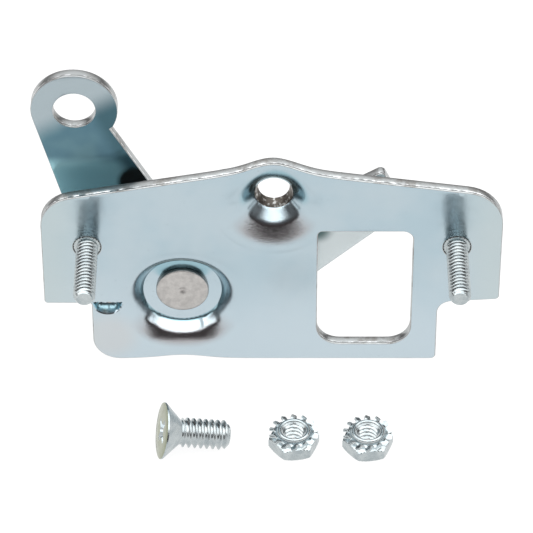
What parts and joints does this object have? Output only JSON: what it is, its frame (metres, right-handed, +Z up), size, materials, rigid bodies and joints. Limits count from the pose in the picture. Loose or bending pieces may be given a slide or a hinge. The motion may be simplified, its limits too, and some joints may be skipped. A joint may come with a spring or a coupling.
{
  "type": "gate latch bell crank plate",
  "caption": "Stamped zinc-plated plate with clinched studs and a riveted bell-crank lever, with its loose toothed-washer nuts and countersunk screw.",
  "frame": {"origin": "midway between the two studs, on the plate's front mounting face", "axes": "+X along the row of studs, +Z up towards the plate's ridge, studs point along -Y, the lever is behind at +Y"},
  "size_m": [0.1025, 0.0477, 0.0752],
  "materials": {
    "zinc_plate": "bright zinc plating, pale blue, glossy",
    "zinc_lever": "bright zinc plating, blue, glossy",
    "zinc_hardware": "bright zinc plating on threads and nuts",
    "rivet_steel": "bare steel, matte"
  },
  "bodies": {
    "plate": {"mounting_plate": "zinc_plate", "stud_left": "zinc_hardware", "stud_right": "zinc_hardware", "pivot_rivet": "rivet_steel"},
    "lever": {"bell_crank_lever": "zinc_lever"},
    "screw": {"flat_head_screw": "zinc_hardware"},
    "nut_left": {"keps_nut_left": "zinc_hardware"},
    "nut_right": {"keps_nut_right": "zinc_hardware"},
    "washer_left": {"tooth_washer_left": "zinc_hardware"},
    "washer_right": {"tooth_washer_right": "zinc_hardware"}
  },
  "joints": [
    {"name": "lever_pivot", "type": "hinge", "parent": "plate", "child": "lever", "pos_m": [-0.02, 0.00855, -0.0163], "axis": [0, 1, 0], "range_deg": [0, 30]},
    {"name": "screw_lift", "type": "slide", "parent": "plate", "child": "screw", "axis": [0, 0, 1], "range_m": [0, 0.02]},
    {"name": "nut_left_lift", "type": "slide", "parent": "plate", "child": "nut_left", "axis": [0, 0, 1], "range_m": [0, 0.02]},
    {"name": "nut_right_lift", "type": "slide", "parent": "plate", "child": "nut_right", "axis": [0, 0, 1], "range_m": [0, 0.02]},
    {"name": "washer_left_spin", "type": "hinge", "parent": "nut_left", "child": "washer_left", "pos_m": [0.0048, -0.0281, -0.02945], "axis": [0, 0, 1], "continuous": true},
    {"name": "washer_right_spin", "type": "hinge", "parent": "nut_right", "child": "washer_right", "pos_m": [0.021, -0.0284, -0.02945], "axis": [0, 0, 1], "continuous": true}
  ]
}
